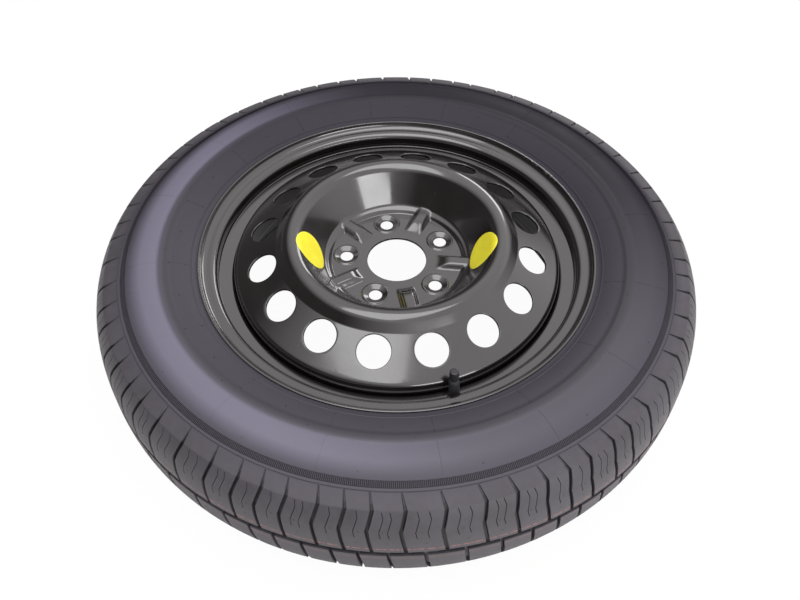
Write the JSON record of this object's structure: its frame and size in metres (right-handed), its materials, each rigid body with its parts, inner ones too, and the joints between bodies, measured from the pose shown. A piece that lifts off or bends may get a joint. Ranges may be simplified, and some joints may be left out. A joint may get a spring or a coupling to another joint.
{
  "type": "space saver spare wheel",
  "caption": "Temporary-use spare wheel: a narrow tyre on a black pressed-steel wheel with a vented disc, coned lug seats and a snap-in valve.",
  "frame": {"origin": "centre of the hub bore, on the mounting face", "axes": "+Z along the wheel's axis, out of the outboard side; +Y towards the top of the picture"},
  "size_m": [0.6709, 0.6709, 0.1545],
  "materials": {
    "tyre": "satin black rubber",
    "black_paint": "gloss black",
    "valve_rubber": "matte black",
    "cap_plastic": "satin black",
    "brass": "turned",
    "seal_rubber": "matte black",
    "red_seal": "matte red",
    "spring_steel": "drawn wire",
    "sticker": "yellow vinyl"
  },
  "bodies": {
    "wheel": {"tyre": "tyre", "rim": "black_paint", "wheel_disc": "black_paint", "disc_welds": "black_paint", "valve_rubber": "valve_rubber", "valve_stem": "brass", "core_nut": "brass", "core_barrel": "brass", "barrel_seal": "red_seal", "core_spring": "spring_steel", "spring_cup": "brass", "label_left": "sticker", "label_right": "sticker"},
    "cap": {"valve_cap": "cap_plastic"},
    "cap_washer": {"cap_seal": "seal_rubber"},
    "pin": {"core_pin": "brass", "pin_cup": "brass", "pin_seal": "seal_rubber"}
  },
  "joints": [
    {"name": "cap_travel", "type": "slide", "parent": "wheel", "child": "cap_washer", "axis": [-0.0369, 0.1162, 0.9925], "range_m": [0, 0.0065]},
    {"name": "cap_turn", "type": "hinge", "parent": "cap_washer", "child": "cap", "pos_m": [0.05713, -0.1801, 0.03049], "axis": [-0.0369, 0.1162, 0.9925], "range_deg": [0, 2947.6]},
    {"name": "pin_press", "type": "slide", "parent": "wheel", "child": "pin", "axis": [0.0369, -0.1162, -0.9925], "range_m": [0, 0.0012], "stiffness_N_per_m": 900, "springref_m": -0.002, "deforming": ["core_spring"]}
  ],
  "couplings": [
    {"joint": "cap_turn", "follows": "cap_travel", "rad_per_m": 7913.3}
  ]
}
